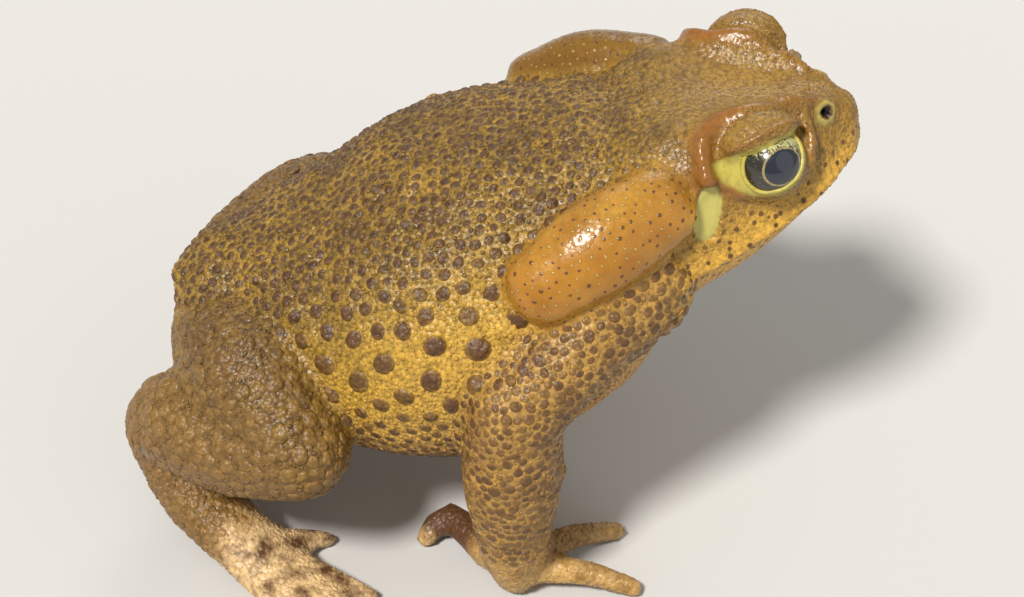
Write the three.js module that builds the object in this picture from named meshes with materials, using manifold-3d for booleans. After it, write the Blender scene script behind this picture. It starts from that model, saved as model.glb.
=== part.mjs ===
// A cane toad, life size, standing raised on its forelegs with the hind legs folded.
// Millimetres. +X is the way the toad faces, +Y its left side, +Z up, and the floor is z = 0.
import * as THREE from "three";
import { mergeVertices } from "three/addons/utils/BufferGeometryUtils.js";
import Module from "manifold-3d";

const wasm = await Module();
wasm.setup();

// Driving sizes
const clearance = 0.3; // between any two neighbouring pieces
const faceTolerance = 0.06; // how far a facet may stray when slivers are cleared away
const neck = { at: [27.3, 0, 60], lean: 14 }; // the plane between head and trunk, leaning back in degrees

// Skin colours
const olive = { color: 0x6f5a26, roughness: 0.55, metalness: 0 };
const brown = { color: 0x5a4a25, roughness: 0.55, metalness: 0 };
const amber = { color: 0x9a6420, roughness: 0.4, metalness: 0 };
const straw = { color: 0xb59a4a, roughness: 0.5, metalness: 0 };
const black = { color: 0x0b0d10, roughness: 0.08, metalness: 0 };

const vector = (p) => new THREE.Vector3(...p);

// A value along a row of stations, by the same smooth curve in every use.
function along(values, t) {
  const last = values.length - 1;
  const place = Math.min(Math.max(t, 0), 1) * last;
  const i = Math.min(Math.floor(place), last - 1);
  const f = place - i;
  const at = (k) => values[Math.min(Math.max(k, 0), last)];
  const [a, b, c, d] = [at(i - 1), at(i), at(i + 1), at(i + 2)];
  const bend = (c - a) / 2;
  const straighten = (d - b) / 2;
  return (
    b + f * (bend + f * (3 * (c - b) - 2 * bend - straighten + f * (2 * (b - c) + bend + straighten)))
  );
}

// A closed rounded body: a sphere whose parallels become rings along a path, with rounded ends.
// wide, tall and under are half sizes at each point of the path; power squares the section,
// and lean draws it in towards the top.
function form({
  path, wide, tall = wide, under = tall, up = [0, 0, 1], tips = [1, 1],
  around = 18, rings = 10, capRings = 3, power = 2, lean = 0, grow = 0,
}) {
  const curve = new THREE.CatmullRomCurve3(path.map(vector), false, "centripetal");
  const last = path.length - 1;
  const rows = rings + 2 * capRings;
  const sphere = new THREE.SphereGeometry(1, around, rows);
  const points = sphere.getAttribute("position");
  const reference = vector(up);
  for (let row = 0; row <= rows; row++) {
    const t = Math.min(Math.max((row - capRings) / rings, 0), 1);
    const tangent = curve.getTangent(t);
    const side = reference.clone().cross(tangent).normalize();
    const top = tangent.clone().cross(side);
    const centre = curve.getPoint(t);
    const sizes = [wide, tall, under].map((list) => along(list, t) + grow);
    let shrink = 1;
    const past = row < capRings ? capRings - row : row - capRings - rings;
    if (past > 0) {
      const angle = (past / capRings) * (Math.PI / 2);
      const end = row < capRings ? 0 : last;
      const reach = (Math.min(wide[end], tall[end]) + grow) * tips[end ? 1 : 0];
      shrink = past === capRings ? 0 : Math.cos(angle);
      centre.addScaledVector(tangent, reach * Math.sin(angle) * (end ? 1 : -1));
    }
    for (let column = 0; column <= around; column++) {
      const turn = (column / around) * 2 * Math.PI;
      const squared = (v) => Math.sign(v) * Math.abs(v) ** (2 / power);
      const across = -squared(Math.cos(turn));
      const rise = squared(Math.sin(turn));
      const high = rise > 0 ? sizes[1] : sizes[2];
      const drawn = 1 - lean * Math.max(rise, 0);
      const point = centre
        .clone()
        .addScaledVector(side, across * sizes[0] * drawn * shrink)
        .addScaledVector(top, rise * high * shrink);
      points.setXYZ(row * (around + 1) + column, point.x, point.y, point.z);
    }
  }
  return solid(sphere);
}

// A geometry as a solid, with its shared vertices merged.
function solid(geometry) {
  const bare = geometry.clone();
  bare.deleteAttribute("normal");
  bare.deleteAttribute("uv");
  const merged = mergeVertices(bare, 1e-3);
  return new wasm.Manifold(
    new wasm.Mesh({
      numProp: 3,
      vertProperties: merged.getAttribute("position").array,
      triVerts: new Uint32Array(merged.index.array),
    }),
  );
}

// An ellipsoid, turned by degrees about X, Y and Z.
function ellipsoid({ centre, radii, turn = [0, 0, 0], around = 18, rows = 12, grow = 0 }) {
  const geometry = new THREE.SphereGeometry(1, around, rows);
  geometry.scale(...radii.map((r) => r + grow));
  const matrix = new THREE.Matrix4().makeRotationFromEuler(
    new THREE.Euler(...turn.map(THREE.MathUtils.degToRad)),
  );
  geometry.applyMatrix4(matrix);
  geometry.translate(...centre);
  return solid(geometry);
}

// A block that fills everything on one side of a plane, starting off by a distance along its normal.
function halfSpace(point, normal, off = 0) {
  const size = 400;
  const box = new THREE.BoxGeometry(size, size, size);
  box.translate(0, 0, size / 2 + off);
  const facing = new THREE.Quaternion().setFromUnitVectors(
    new THREE.Vector3(0, 0, 1),
    vector(normal).normalize(),
  );
  box.applyQuaternion(facing);
  box.translate(...point);
  return solid(box);
}

const join = (...solids) => solids.reduce((whole, piece) => whole.add(piece));
const cut = (body, ...tools) => tools.reduce((rest, tool) => rest.subtract(tool), body);

// The two sides of a joint: each keeps what lies on its own side of the plane that halves the bend.
function bendPlane(joint, towardsFirst, towardsSecond) {
  const first = vector(towardsFirst).sub(vector(joint)).normalize();
  const second = vector(towardsSecond).sub(vector(joint)).normalize();
  const normal = first.sub(second).normalize().toArray();
  const back = normal.map((v) => -v);
  return {
    first: halfSpace(joint, normal, clearance / 2),
    second: halfSpace(joint, back, clearance / 2),
  };
}

// The largest closed surface of a solid.
function largest(body) {
  return body.decompose().sort((a, b) => b.volume() - a.volume())[0].simplify(faceTolerance);
}

// Even, repeatable draws for the places and sizes of the warts.
function draws(seed) {
  let state = seed;
  return () => {
    state = (state * 1664525 + 1013904223) % 4294967296;
    return state / 4294967296;
  };
}

// Low six-sided domes grown on a solid: count places are tried on its faces by area, each dome is kept
// where accept says so and no earlier one is nearer than the spacing, and all are joined to it.
function withWarts(base, { seed, count, radius, spacing, keepOff, accept = () => true }) {
  const draw = draws(seed);
  const mesh = base.getMesh();
  const point = (i) => vector(mesh.vertProperties.subarray(i * mesh.numProp, i * mesh.numProp + 3));
  const faces = [];
  let area = 0;
  for (let i = 0; i < mesh.triVerts.length; i += 3) {
    const [a, b, c] = [0, 1, 2].map((k) => point(mesh.triVerts[i + k]));
    const normal = b.clone().sub(a).cross(c.clone().sub(a));
    area += normal.length() / 2;
    faces.push({ a, b, c, normal: normal.normalize(), area });
  }
  const placed = [];
  const domes = [];
  for (let tries = 0; tries < 3000 && placed.length < count; tries++) {
    const wanted = draw() * area;
    const face = faces.find((f) => f.area >= wanted);
    let [u, v] = [draw(), draw()];
    if (u + v > 1) [u, v] = [1 - u, 1 - v];
    const at = face.a
      .clone()
      .multiplyScalar(1 - u - v)
      .addScaledVector(face.b, u)
      .addScaledVector(face.c, v);
    const size = radius[0] + (radius[1] - radius[0]) * draw() ** 1.4;
    const near = placed.some((p) => p.at.distanceTo(at) < spacing + size);
    if (near || !accept(at, face.normal)) continue;
    const dome = wartDome(at, face.normal, size);
    if (!dome.intersect(keepOff).isEmpty()) continue;
    placed.push({ at, size });
    domes.push(dome);
  }
  return join(base, ...domes);
}

function wartDome(at, normal, size) {
  const dome = new THREE.SphereGeometry(size, 6, 3);
  dome.scale(1, 0.62, 1);
  dome.applyQuaternion(new THREE.Quaternion().setFromUnitVectors(new THREE.Vector3(0, 1, 0), normal));
  const root = at.clone().addScaledVector(normal, -0.1 * size);
  dome.translate(root.x, root.y, root.z);
  return solid(dome);
}

const mirrored = (p, side) => [p[0], p[1] * side, p[2]];
const sides = { right: -1, left: 1 };

// Trunk
const trunk = {
  path: [[-47.5, 0, 38], [-39, 0, 38], [-25, 0, 38.5], [-9, 0, 42.5], [7, 0, 49], [19, 0, 56.5], [28, 0, 60.5]],
  wide: [14, 22.5, 30.5, 34.5, 32, 25.5, 20],
  tall: [12.5, 17.5, 23.5, 27, 26.5, 22.6, 19],
  under: [14, 19, 25, 27.5, 24.4, 17.4, 13],
  tips: [0.95, 0.3],
};

function trunkForm(grow = 0) {
  return form({ ...trunk, around: 26, rings: 14, capRings: 3, power: 2.15, grow });
}

// Head, from the nape to the snout: at each x, the lip, the crest beside the crown, the temple between
// them, and the hollow middle of the crown.
const skull = [
  { x: 9, lip: [18, 55], temple: [13, 67], crest: [8, 71], middle: 72 },
  { x: 16, lip: [21, 56.5], temple: [16, 72.5], crest: [10.5, 76.6], middle: 77 },
  { x: 22.5, lip: [22.4, 57.8], temple: [17.5, 76.6], crest: [10.5, 80.6], middle: 79.6 },
  { x: 29, lip: [22, 59.2], temple: [17.4, 78.6], crest: [9.6, 82.6], middle: 80.8 },
  { x: 34, lip: [20.9, 61.8], temple: [16.4, 77.6], crest: [8.2, 82.8], middle: 81 },
  { x: 40, lip: [18.8, 65], temple: [14, 77], crest: [6.8, 82.8], middle: 81.2 },
  { x: 45, lip: [16.1, 67.3], temple: [10.8, 78.2], crest: [5.4, 83], middle: 81.7 },
  { x: 50, lip: [11.9, 69.4], temple: [7.4, 78.4], crest: [3.2, 82.4], middle: 82 },
  { x: 53.4, lip: [7.4, 71.2], temple: [5, 77.4], crest: [2, 80.6], middle: 80.6 },
];
const snoutTip = { reach: 3.2, z: 75.5 };

// Half of a head section, from the middle of the palate up to the middle of the crown.
function halfSection({ lip, temple, crest, middle }) {
  const between = (from, to, across, up) => [
    from[0] + (to[0] - from[0]) * across,
    from[1] + (to[1] - from[1]) * up,
  ];
  const points = [
    [0, lip[1] - 0.8],
    [lip[0] - 1.2, lip[1] - 0.8],
    [lip[0], lip[1] + 0.7],
    between(lip, temple, 0.3, 0.5),
    temple,
    between(temple, crest, 0.55, 0.75),
    crest,
    between(crest, [0, middle], 0.5, 0.7),
    [0, middle],
  ];
  return new THREE.CatmullRomCurve3(points.map(([y, z]) => new THREE.Vector3(0, y, z)));
}

function skullForm(grow = 0) {
  const capRings = 3;
  const rings = 12;
  const around = 24;
  const rows = rings + 2 * capRings;
  const sphere = new THREE.SphereGeometry(1, around, rows);
  const points = sphere.getAttribute("position");
  const get = (t, read) => along(skull.map(read), t);
  for (let row = 0; row <= rows; row++) {
    const t = Math.min(Math.max((row - capRings) / rings, 0), 1);
    const section = halfSection({
      lip: [get(t, (s) => s.lip[0]) + grow, get(t, (s) => s.lip[1]) - grow],
      temple: [get(t, (s) => s.temple[0]) + grow, get(t, (s) => s.temple[1]) + grow / 3],
      crest: [get(t, (s) => s.crest[0]) + grow / 3, get(t, (s) => s.crest[1]) + grow],
      middle: get(t, (s) => s.middle) + grow,
    });
    const past = row < capRings ? row - capRings : Math.max(row - capRings - rings, 0);
    const angle = (Math.abs(past) / capRings) * (Math.PI / 2);
    const shrink = Math.abs(past) === capRings ? 0 : Math.cos(angle);
    const x = get(t, (s) => s.x) + Math.sign(past) * Math.sin(angle) * (snoutTip.reach + grow);
    for (let column = 0; column <= around; column++) {
      const part = column / around;
      const { y, z } = section.getPoint(part < 0.5 ? part * 2 : 2 - part * 2);
      const centre = past > 0 ? snoutTip.z : 66;
      points.setXYZ(
        row * (around + 1) + column,
        x,
        y * (part < 0.5 ? -1 : 1) * shrink,
        centre + (z - centre) * shrink,
      );
    }
  }
  return solid(sphere);
}

// Lower jaw: a shallow keel hung inside the lip line.
const jaw = {
  path: [[16, 0, 56], [23, 0, 57.6], [29, 0, 59.5], [36, 0, 63], [43, 0, 66.5], [49, 0, 69], [52, 0, 70.4]],
  wide: [19.4, 20.8, 20.6, 19, 15.8, 11.3, 7.9],
  under: [16, 14, 12.6, 10.4, 7.8, 5, 3.2],
};

function jawForm(grow = 0) {
  return form({
    path: jaw.path,
    wide: jaw.wide,
    tall: jaw.wide.map(() => 1),
    under: jaw.under,
    tips: [0.3, 1.4],
    around: 24,
    rings: 11,
    power: 1.7,
    grow,
  });
}

// Everything above the lip line (or, turned over, below it), from behind the jaw corner to past the snout.
function mouthBlock(up, off) {
  const outline = new THREE.Shape();
  outline.moveTo(-40, 52 + off);
  for (const { x, lip } of skull) outline.lineTo(x, lip[1] + off);
  outline.lineTo(70, 75 + off);
  outline.lineTo(70, up ? 200 : -100);
  outline.lineTo(-40, up ? 200 : -100);
  const block = new THREE.ExtrudeGeometry(outline, { depth: 120, bevelEnabled: false });
  block.rotateX(Math.PI / 2);
  block.translate(0, 60, 0);
  return solid(block);
}

const eye = { at: [40.4, 14.2, 77.7], radius: 5.6 };

function eyeForm(side, grow = 0) {
  const r = eye.radius;
  return ellipsoid({ centre: mirrored(eye.at, side), radii: [r, r, r], around: 14, rows: 8, grow });
}

// Upper lid: a thick dome over the ball, cut off along its margin; lower lid: a low swelling under it.
function lids(side) {
  const dome = ellipsoid({ centre: [39, 13.2 * side, 80.6], radii: [7.6, 6.2, 6.1], around: 12, rows: 7 });
  const margin = halfSpace([40, 17.2 * side, 84], [0.4, 0.5 * side, -0.77]);
  const lower = ellipsoid({ centre: [39.4, 12.8 * side, 76], radii: [8.2, 6.6, 6], around: 12, rows: 7 });
  return join(cut(dome, margin), lower);
}

// Crests over and behind the eye, and the short one in front of it.
const crests = [
  {
    path: [[51.6, 2.4, 81.6], [45, 5.6, 83.2], [39, 7.4, 83], [34, 9, 83], [30.4, 12.2, 82.4], [29.6, 16, 80], [30.6, 18.4, 76.8]],
    wide: [0.8, 1.2, 1.3, 1.5, 1.6, 1.5, 1.1],
    rings: 11,
  },
  { path: [[46, 6.4, 82.6], [47.4, 10.4, 80], [47.2, 13.6, 75.6]], wide: [1.1, 1.1, 0.9], rings: 5 },
];

function crestForms(side) {
  return crests.map(({ path, wide, rings }) =>
    form({ path: path.map((p) => mirrored(p, side)), wide, around: 6, rings, capRings: 1 }),
  );
}

// Nostril: a low rim with a bore.
function nostril(side) {
  const at = [50.6, 5 * side, 80.6];
  const rim = ellipsoid({ centre: at, radii: [1.6, 1.4, 1.5], around: 10, rows: 6 });
  const bore = form({
    path: [[at[0] + 0.4, at[1] + 2.6 * side, at[2] + 1.8], [at[0] - 0.4, at[1] - 1.2 * side, at[2] - 0.8]],
    wide: [0.75, 0.75],
    around: 7,
    rings: 2,
    capRings: 1,
  });
  return { rim, bore };
}

// Upper lip: a thin roll along the edge of the mouth.
function lipForm() {
  const half = skull.slice(3).map(({ x, lip }) => [x, lip[0] - 0.7, lip[1] + 1.2]);
  const right = half.map((p) => mirrored(p, -1));
  const tip = [[56, 0, 73.2]];
  const path = [...right, ...tip, ...half.reverse()];
  return form({ path, wide: path.map(() => 1.15), around: 6, rings: 20, capRings: 1 });
}

// Ear: a shallow dish behind the eye with the drum in it.
const ear = { at: [30.4, 18.9, 71], radii: [2.4, 1.8, 5.8], turn: [0, 12, 0] };

function earForm(side, { grow = 0, out = 0 }) {
  const [x, y, z] = ear.at;
  return ellipsoid({
    centre: [x, (y + out) * side, z],
    radii: ear.radii,
    turn: [-16 * side, ear.turn[1], 0],
    around: 12,
    rows: 6,
    grow,
  });
}

const drumFace = (side) => halfSpace([0, 19.5 * side, 71], [0, side, 0.32]);

// Parotoid gland: a long smooth pillow from behind the ear to the flank.
const gland = {
  path: [[23.6, 19.2, 73], [13.8, 24.4, 69], [4.2, 28.2, 63.2]],
  wide: [6.5, 7.9, 6.3],
  thick: [5, 6, 4.8],
};

function glandForm(side, grow = 0) {
  return form({
    path: gland.path.map((p) => mirrored(p, side)),
    wide: gland.wide,
    tall: gland.thick,
    up: [0.1, 0.62 * side, 0.75],
    around: 18,
    rings: 7,
    power: 2.2,
    grow,
  });
}

// Forelimbs
const arms = {
  right: {
    shoulder: [20.3, -20.5, 58],
    upper: [10.1, -28.2, 51.6],
    elbow: [0.2, -34, 42],
    fore: [0, -35, 28],
    wrist: [0.2, -34, 11],
    palm: [1, -32.6, 4.2],
    fingers: [
      [[-4, -31, 4], [-9, -24.4, 3.6], [-12, -22, 3.4], [-15.2, -25.4, 1.6]],
      [[1, -29, 3.6], [3, -22, 3.6], [5.5, -15.5, 1.5]],
      [[4, -31, 3.8], [11.5, -27, 3.8], [18.6, -24, 1.6]],
      [[4, -34.5, 3.8], [13, -35.4, 3.6], [21.2, -37, 1.5]],
    ],
  },
  left: {
    shoulder: [20.3, 20.5, 58],
    upper: [8.8, 28.6, 51.6],
    elbow: [-2.5, 34.4, 42.4],
    fore: [-3.4, 35.6, 28],
    wrist: [-3.4, 35, 11],
    palm: [-2.6, 33.8, 4.2],
    fingers: [
      [[-7.4, 31, 4], [-12.6, 24.5, 3.4], [-16, 19.5, 1.6]],
      [[-3, 30, 3.6], [-2, 23, 3.6], [0.4, 16.5, 1.5]],
      [[0.4, 32, 3.8], [7, 27.6, 3.8], [13.4, 23.6, 1.6]],
      [[0.6, 35.6, 3.8], [9.4, 36.6, 3.6], [17.4, 38.6, 1.5]],
    ],
  },
};

const floorBlock = halfSpace([0, 0, 0], [0, 0, -1]);

function upperArmForm({ shoulder, upper, elbow }, grow = 0) {
  return form({ path: [shoulder, upper, elbow], wide: [9.6, 8.2, 8.3], around: 14, rings: 5, grow });
}

function forearmForm({ elbow, fore, wrist }, grow = 0) {
  const wide = [8.2, 8.4, 6.4];
  return form({ path: [elbow, fore, wrist], wide, up: [1, 0, 0], around: 14, rings: 6, grow });
}

function palmForm({ wrist, palm }, side) {
  const heel = [wrist[0], wrist[1], wrist[2] - 0.5];
  const knuckles = [palm[0] + 2, palm[1] - side, 3];
  const path = [heel, palm, knuckles];
  return form({ path, wide: [6.4, 6.6, 5.4], tall: [6.2, 5.4, 4], up: [1, 0, 0], around: 10, rings: 4, capRings: 2 });
}

// Four fingers; the inner one, with its pad, is the thickest.
function fingerForms({ fingers }) {
  const widths = { 3: [2.9, 2.4, 1.9], 4: [3.5, 3, 2.8, 2.1] };
  return fingers.map((path) => form({ path, wide: widths[path.length], around: 6, rings: 5, capRings: 2 }));
}

function armNodes(name, side, keepOff) {
  const arm = arms[name];
  const elbow = bendPlane(arm.elbow, arm.shoulder, arm.wrist);
  const wrist = bendPlane(arm.wrist, arm.elbow, [arm.wrist[0], arm.wrist[1], 0]);
  const warts = { radius: [1.3, 2], spacing: 2.4, keepOff };
  const upper = withWarts(upperArmForm(arm), { ...warts, seed: 11 + side, count: 7 });
  const fore = withWarts(forearmForm(arm), { ...warts, seed: 21 + side, count: 10 });
  const hand = join(palmForm(arm, side), ...fingerForms(arm));
  return {
    upper: upper.intersect(elbow.first),
    fore: fore.intersect(elbow.second).intersect(wrist.first),
    hand: cut(hand.intersect(wrist.second), floorBlock),
  };
}

// Hind limbs
const legs = {
  right: {
    hip: [-48.5, -8, 34.4],
    thigh: [-42.8, -20.4, 36.6],
    knee: [-35.4, -32, 31],
    calf: [-46, -26, 27],
    shin: [-54.8, -19.4, 25.2],
    heel: [-60.8, -13, 17.6],
    tarsus: [-56.5, -20.4, 9],
    ankle: [-48.5, -28.5, 5.6],
    sole: [-41, -34, 2.9],
    toes: [
      [[-43, -28.5, 3.2], [-38, -27, 2.8], [-33, -25.8, 1.4]],
      [[-41, -31, 3.2], [-33, -35, 2.8], [-24.5, -39, 1.4]],
      [[-40.5, -33, 3.2], [-31, -40.6, 2.8], [-20.6, -47.6, 1.4]],
      [[-41.5, -35, 3.2], [-31, -46.6, 2.8], [-17.4, -57, 1.4]],
      [[-44, -35.4, 3.2], [-40.4, -44, 2.8], [-36, -53, 1.4]],
    ],
  },
  left: {
    hip: [-47, 9, 35.6],
    thigh: [-36.5, 22.6, 36.2],
    knee: [-25, 34.6, 30.4],
    calf: [-36, 30.6, 26.4],
    shin: [-45, 25.4, 23.4],
    heel: [-52, 20, 17.4],
    tarsus: [-47, 26.6, 9],
    ankle: [-38.4, 34, 5.6],
    sole: [-30.4, 39, 2.9],
    toes: [
      [[-33, 33.6, 3.2], [-27.6, 32.4, 2.8], [-22.4, 32, 1.4]],
      [[-30.6, 36, 3.2], [-22.4, 39, 2.8], [-13.6, 41.6, 1.4]],
      [[-29.6, 38, 3.2], [-19.6, 44.4, 2.8], [-9, 50, 1.4]],
      [[-30.6, 40, 3.2], [-19.6, 50, 2.8], [-6, 59.4, 1.4]],
      [[-33.4, 40.4, 3.2], [-29, 48.4, 2.8], [-24, 57, 1.4]],
    ],
  },
};

function thighForm({ hip, thigh, knee }, grow = 0) {
  return form({ path: [hip, thigh, knee], wide: [11.2, 11.3, 9], around: 14, rings: 6, grow });
}

function shankForm({ knee, calf, shin, heel }, grow = 0) {
  return form({ path: [knee, calf, shin, heel], wide: [8.6, 9.7, 9.9, 8.3], around: 14, rings: 6, grow });
}

function tarsusForm({ heel, tarsus, ankle }) {
  const wide = [8, 6.7, 6];
  return form({ path: [heel, tarsus, ankle], wide, tall: [8, 6.7, 5.2], around: 14, rings: 5 });
}

function soleForm({ ankle, sole, toes }) {
  const path = [ankle, sole, toes[3][1]];
  return form({ path, wide: [6, 7, 4], tall: [5.2, 3.4, 1.8], around: 10, rings: 4, capRings: 2 });
}

function toeForms({ toes }) {
  return toes.map((path) => form({ path, wide: [2.6, 2.2, 1.7], around: 6, rings: 4, capRings: 2 }));
}

function legNodes(name, side, keepOff) {
  const leg = legs[name];
  const knee = bendPlane(leg.knee, leg.hip, leg.heel);
  const heel = bendPlane(leg.heel, leg.shin, leg.tarsus);
  const ankle = bendPlane(leg.ankle, leg.tarsus, leg.sole);
  const warts = { radius: [1.4, 2.2], spacing: 2.6, keepOff };
  const thigh = withWarts(thighForm(leg), { ...warts, seed: 31 + side, count: 12 });
  const shank = withWarts(shankForm(leg), { ...warts, seed: 41 + side, count: 13 });
  const foot = join(soleForm(leg), web(leg), ...toeForms(leg));
  return {
    thigh: thigh.intersect(knee.first),
    shank: shank.intersect(knee.second).intersect(heel.first),
    tarsus: cut(tarsusForm(leg).intersect(heel.second).intersect(ankle.first), floorBlock),
    foot: cut(foot.intersect(ankle.second), floorBlock),
  };
}

// Web: a thin plate between the toes, hollowed at its free edge.
function web({ ankle, toes }) {
  const outline = new THREE.Shape();
  outline.moveTo(ankle[0], ankle[1]);
  toes.forEach(([root, knuckle, tip], i) => {
    const reach = [0.55, 0.5, 0.45, 0.2, 0.5][i];
    const at = (k) => knuckle[k] + (tip[k] - knuckle[k]) * reach;
    if (i > 0) {
      const last = toes[i - 1][1];
      outline.lineTo((last[0] + knuckle[0]) / 2, (last[1] + knuckle[1]) / 2);
    }
    outline.lineTo(at(0), at(1));
  });
  const plate = new THREE.ExtrudeGeometry(outline, { depth: 1.2, bevelEnabled: false });
  plate.translate(0, 0, 0.6);
  return solid(plate);
}

// The whole trunk and head, to trim what sits on them
const back = THREE.MathUtils.degToRad(neck.lean);
const neckNormal = [Math.cos(back), 0, Math.sin(back)];
const neckFront = halfSpace(neck.at, neckNormal, clearance / 2);
const neckRear = halfSpace(neck.at, neckNormal.map((v) => -v), clearance / 2);
const grown = join(trunkForm(clearance), skullForm(clearance), jawForm(clearance));

const toad = new THREE.Group();
toad.name = "toad";

function add(name, shape, finish) {
  const mesh = shape.getMesh();
  const points = new Float32Array(mesh.numVert * 3);
  for (let i = 0; i < mesh.numVert; i++) {
    points.set(mesh.vertProperties.subarray(i * mesh.numProp, i * mesh.numProp + 3), i * 3);
  }
  const geometry = new THREE.BufferGeometry();
  geometry.setAttribute("position", new THREE.BufferAttribute(points, 3));
  geometry.setIndex(new THREE.BufferAttribute(mesh.triVerts, 1));
  geometry.computeVertexNormals();
  const piece = new THREE.Mesh(geometry, new THREE.MeshStandardMaterial(finish));
  piece.name = name;
  toad.add(piece);
}

const nostrils = [nostril(-1), nostril(1)];
const headWhole = join(
  skullForm(),
  trunkForm(),
  lids(-1),
  lids(1),
  lipForm(),
  ...crestForms(-1),
  ...crestForms(1),
  ...nostrils.map((n) => n.rim),
);
const headFront = headWhole.intersect(mouthBlock(true, 0)).intersect(neckFront);
add(
  "head",
  largest(
    cut(
      headFront,
      eyeForm(-1, clearance),
      eyeForm(1, clearance),
      earForm(-1, { grow: clearance }),
      earForm(1, { grow: clearance }),
      ...nostrils.map((n) => n.bore),
    ),
  ),
  olive,
);
const lowerFront = join(jawForm(), trunkForm()).intersect(mouthBlock(false, -clearance)).intersect(neckFront);
add("lower_jaw", largest(lowerFront), straw);

// Warts on the trunk: over the back and flanks, clear of the limbs and glands and off the belly.
const wartRoom = 1.4;
const trunkKeepOff = join(
  ...Object.entries(sides).flatMap(([name, side]) => [
    upperArmForm(arms[name], wartRoom),
    forearmForm(arms[name], wartRoom),
    thighForm(legs[name], wartRoom),
    shankForm(legs[name], wartRoom),
    glandForm(side, wartRoom),
  ]),
  skullForm(wartRoom),
);
const limbKeepOff = join(trunkForm(wartRoom), glandForm(-1, wartRoom), glandForm(1, wartRoom));
const trunkWarts = withWarts(trunkForm(), {
  seed: 5,
  count: 50,
  radius: [1.5, 2.7],
  spacing: 3.8,
  keepOff: trunkKeepOff,
  accept: (at, normal) => normal.z > -0.45 && at.z > 22,
});
add("torso", largest(join(trunkWarts, skullForm(), jawForm()).intersect(neckRear)), olive);

for (const [name, side] of Object.entries(sides)) {
  add(`eye_${name}`, eyeForm(side), black);
  add(`tympanum_${name}`, largest(cut(earForm(side, {}), drumFace(side))), straw);
  add(`parotoid_${name}`, largest(cut(glandForm(side), grown)), amber);
  const arm = armNodes(name, side, limbKeepOff);
  add(`upper_arm_${name}`, largest(cut(arm.upper, grown, glandForm(side, clearance))), olive);
  add(`forearm_${name}`, largest(cut(arm.fore, grown)), brown);
  add(`hand_${name}`, largest(arm.hand), straw);
  const leg = legNodes(name, side, limbKeepOff);
  add(`thigh_${name}`, largest(cut(leg.thigh, grown)), brown);
  add(`shank_${name}`, largest(cut(leg.shank, grown)), brown);
  add(`tarsus_${name}`, largest(leg.tarsus), brown);
  add(`foot_${name}`, largest(leg.foot), straw);
}

// The floor under the toad's middle is the origin.
const box = new THREE.Box3().setFromObject(toad);
const middle = box.getCenter(new THREE.Vector3());
for (const piece of toad.children) piece.geometry.translate(-middle.x, -middle.y, -box.min.z);

export default toad;
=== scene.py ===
import math
import random

import bmesh
import bpy
import numpy as np
from mathutils import Matrix, Vector
from mathutils.bvhtree import BVHTree
from mathutils.kdtree import KDTree


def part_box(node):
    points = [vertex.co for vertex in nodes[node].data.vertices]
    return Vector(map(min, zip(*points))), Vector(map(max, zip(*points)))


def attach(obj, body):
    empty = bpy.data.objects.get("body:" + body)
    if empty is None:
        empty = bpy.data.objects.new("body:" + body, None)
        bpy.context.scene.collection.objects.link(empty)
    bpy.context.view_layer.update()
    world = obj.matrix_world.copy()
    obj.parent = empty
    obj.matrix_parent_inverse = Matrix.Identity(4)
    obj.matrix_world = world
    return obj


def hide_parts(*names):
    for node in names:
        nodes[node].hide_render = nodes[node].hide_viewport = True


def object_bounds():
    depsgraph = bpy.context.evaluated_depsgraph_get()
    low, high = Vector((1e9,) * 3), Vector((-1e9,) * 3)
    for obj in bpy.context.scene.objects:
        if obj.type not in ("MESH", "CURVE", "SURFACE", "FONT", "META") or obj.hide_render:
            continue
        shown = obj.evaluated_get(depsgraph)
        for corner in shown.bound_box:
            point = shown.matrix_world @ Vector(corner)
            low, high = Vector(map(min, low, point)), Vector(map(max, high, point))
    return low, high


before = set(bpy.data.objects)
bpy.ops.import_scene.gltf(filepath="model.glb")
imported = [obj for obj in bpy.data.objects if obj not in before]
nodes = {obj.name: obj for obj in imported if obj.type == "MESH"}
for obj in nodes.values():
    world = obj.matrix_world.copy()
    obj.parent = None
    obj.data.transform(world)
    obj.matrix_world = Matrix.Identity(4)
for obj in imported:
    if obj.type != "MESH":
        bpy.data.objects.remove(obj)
cadLow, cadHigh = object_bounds()
mm = 0.001

# places below are in millimetres in the toad's own frame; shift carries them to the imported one
eyePlan = {"middle": (40.4, 14.2, 77.7), "radius": 5.6, "skin": 0.35}   # skin is how thick it lies on the ball
eyeLow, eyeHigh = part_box("eye_right")
eyeX, eyeY, eyeZ = eyePlan["middle"]
shift = (eyeLow + eyeHigh) / 2 - Vector((eyeX, -eyeY, eyeZ)) * mm
shiftRow = np.array(shift)


def toPacked(points):
    return np.asarray(points, float) * mm + shiftRow


def toToad(points):
    return (np.asarray(points, float) - shiftRow) / mm


def smoothPath(path, steps=6):
    # a Catmull-Rom curve through the points
    path = [np.array(p, float) for p in path]
    ends = [2 * path[0] - path[1]] + path + [2 * path[-1] - path[-2]]
    out = []
    for i in range(1, len(ends) - 2):
        a, b, c, d = ends[i - 1:i + 3]
        for k in range(steps):
            t = k / steps
            out.append(0.5 * (2 * b + (c - a) * t + (2 * a - 5 * b + 4 * c - d) * t * t
                              + (3 * b - a - 3 * c + d) * t ** 3))
    out.append(path[-1])
    return np.array(out)


def nearPath(points, path):
    # distance from each point to a path, and how far along it the nearest place is
    best = np.full(len(points), 1e9)
    along = np.zeros(len(points))
    for i in range(len(path) - 1):
        a, step = path[i], path[i + 1] - path[i]
        t = np.clip(((points - a) @ step) / (step @ step), 0, 1)
        away = np.linalg.norm(points - a - t[:, None] * step, axis=1)
        nearer = away < best
        best[nearer] = away[nearer]
        along[nearer] = (i + t[nearer]) / (len(path) - 1)
    return best, along


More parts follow.
